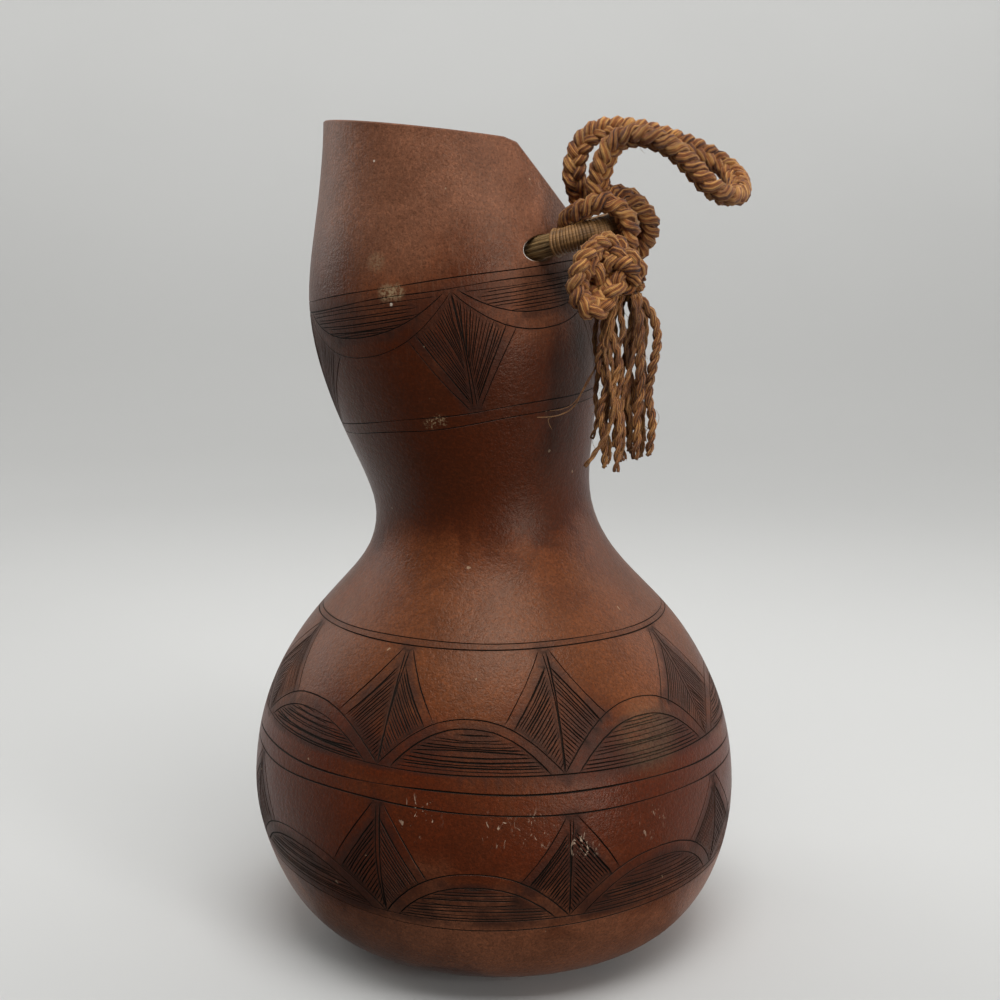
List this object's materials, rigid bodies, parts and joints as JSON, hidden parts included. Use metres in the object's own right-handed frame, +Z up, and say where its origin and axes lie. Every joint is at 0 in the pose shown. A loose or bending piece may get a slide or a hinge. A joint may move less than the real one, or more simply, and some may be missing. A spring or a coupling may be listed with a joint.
{
  "type": "dried bottle gourd",
  "caption": "Carved dried bottle gourd vessel with a slanted spout, a cane-bound hoop through two holes and a plaited wrist cord that ends in a knot and tassel.",
  "frame": {"origin": "middle of the box of the gourd and hoop, at the height of the foot", "axes": "+Z up through the neck, -Y is the front with the cord, +X the side of the spout"},
  "size_m": [0.1675, 0.1674, 0.2788],
  "materials": {
    "gourd": "dark red-brown dried gourd rind, rubbed to a soft sheen, with dark cut lines",
    "cane_bundle": "dull olive-brown split cane fibres laid side by side",
    "cane_strip": "narrow tan cane strip, slightly glossy, wound close",
    "cord": "orange-brown twisted plant fibre, plaited in three strands, with loose hairs"
  },
  "bodies": {
    "root": {"gourd_shell": "gourd", "hoop_core": "cane_bundle", "hoop_binding": "cane_strip", "rope_loop": "cord", "rope_hitch": "cord", "rope_knot": "cord", "tassel": "cord"}
  },
  "joints": []
}
